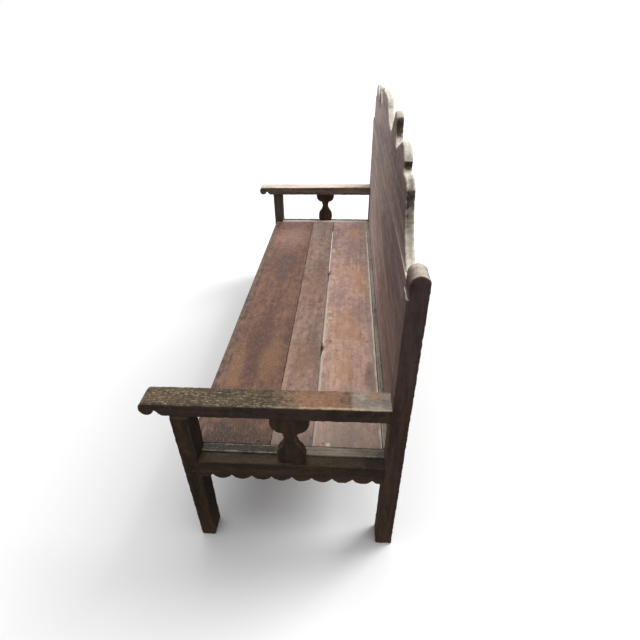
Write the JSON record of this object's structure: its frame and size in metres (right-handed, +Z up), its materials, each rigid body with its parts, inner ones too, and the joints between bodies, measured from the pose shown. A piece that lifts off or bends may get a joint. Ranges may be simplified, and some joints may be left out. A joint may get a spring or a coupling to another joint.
{
  "type": "high back bench",
  "caption": "Long wooden bench with a plank seat, scalloped rails, flat arms on shaped splats and a tall back with a scroll-cut crest.",
  "frame": {"origin": "on the floor at the centre of the bench's bounding box", "axes": "+X along the bench, to the right of someone who looks at its front; the sitter faces -Y; +Z up"},
  "size_m": [2.172, 0.801, 1.3704],
  "materials": {
    "frame_wood": "worn dark brown timber",
    "arm_wood": "worn brown timber, greyed on top",
    "seat_wood": "mottled red-brown planks, rubbed and pitted",
    "back_wood": "muted purple-brown boards",
    "grey_wood": "weathered grey timber",
    "bearer_wood": "rough sawn timber",
    "peg_wood": "dark wooden pegs",
    "nail_iron": "rusted iron"
  },
  "bodies": {
    "root": {"front_leg_left": "frame_wood", "front_leg_right": "frame_wood", "rear_post_left": "frame_wood", "rear_post_right": "frame_wood", "side_rail_left": "frame_wood", "side_rail_right": "frame_wood", "front_rail": "frame_wood", "rear_rail": "frame_wood", "splat_left": "frame_wood", "splat_right": "frame_wood", "arm_left": "arm_wood", "arm_right": "arm_wood", "front_seat_plank": "seat_wood", "middle_seat_plank": "seat_wood", "back_seat_plank": "seat_wood", "lower_back_board": "back_wood", "upper_back_board": "back_wood", "crest_board": "back_wood", "seat_end_cleat_left": "grey_wood", "seat_end_cleat_right": "grey_wood", "back_strip": "grey_wood", "end_bearer_left": "bearer_wood", "end_bearer_right": "bearer_wood", "cross_bearer_1": "bearer_wood", "cross_bearer_2": "bearer_wood", "back_board_tongues": "bearer_wood", "side_rail_pegs": "peg_wood", "front_rail_pegs": "peg_wood", "rear_rail_pegs": "peg_wood", "arm_pegs": "peg_wood", "front_plank_nails": "nail_iron", "middle_plank_nails": "nail_iron", "back_plank_nails": "nail_iron"}
  },
  "joints": []
}
